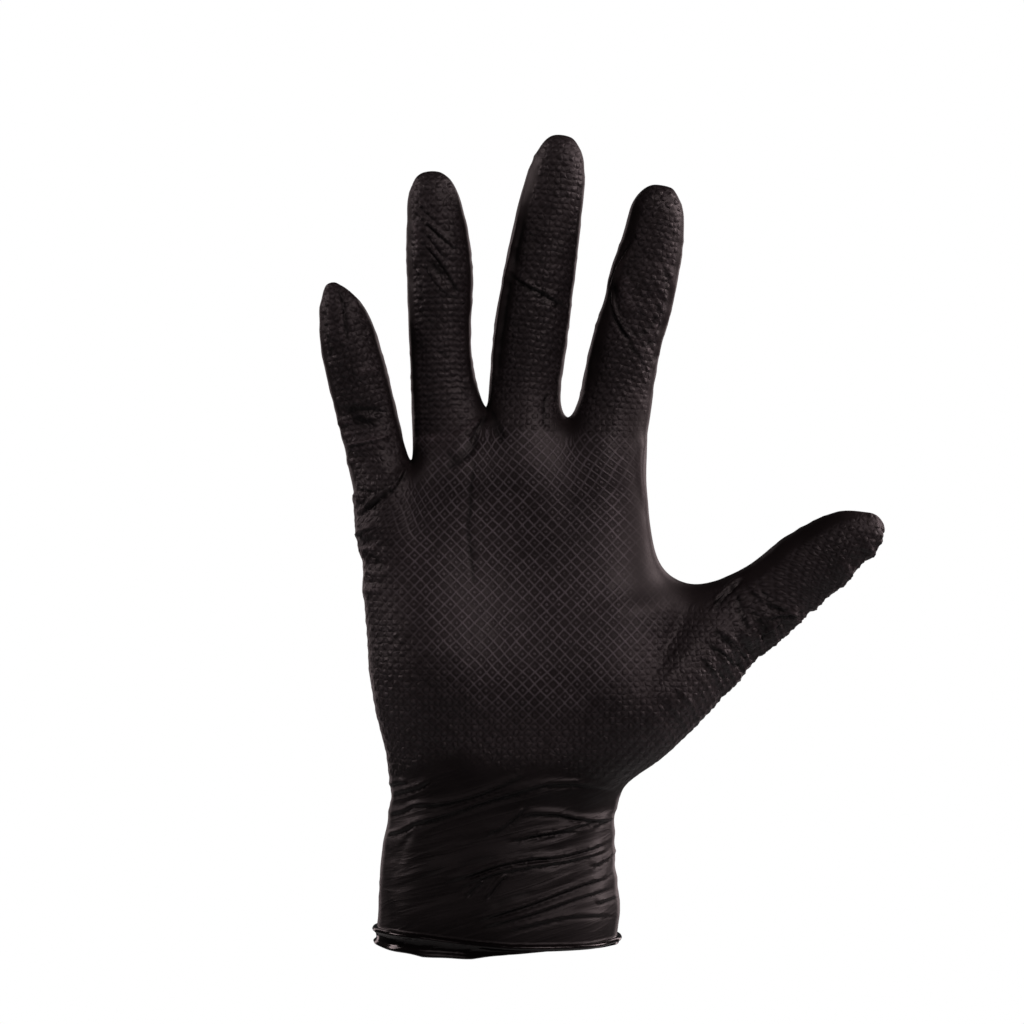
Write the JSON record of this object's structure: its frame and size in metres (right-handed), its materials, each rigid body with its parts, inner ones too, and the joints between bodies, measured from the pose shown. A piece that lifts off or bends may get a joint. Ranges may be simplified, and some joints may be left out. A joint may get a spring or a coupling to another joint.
{
  "type": "nitrile exam glove",
  "caption": "Thin black nitrile exam glove in its worn form, with spread fingers, a gathered cuff and a rolled bead round the open mouth.",
  "frame": {"origin": "centre of the wrist opening, level with the rim at its sides", "axes": "+Z from the wrist opening towards the fingertips, -Y out of the palm, +X towards the thumb"},
  "size_m": [0.1643, 0.0528, 0.2366],
  "materials": {
    "nitrile": "satin film with a raised diamond grip texture"
  },
  "bodies": {
    "root": {"glove": "nitrile"}
  },
  "joints": []
}
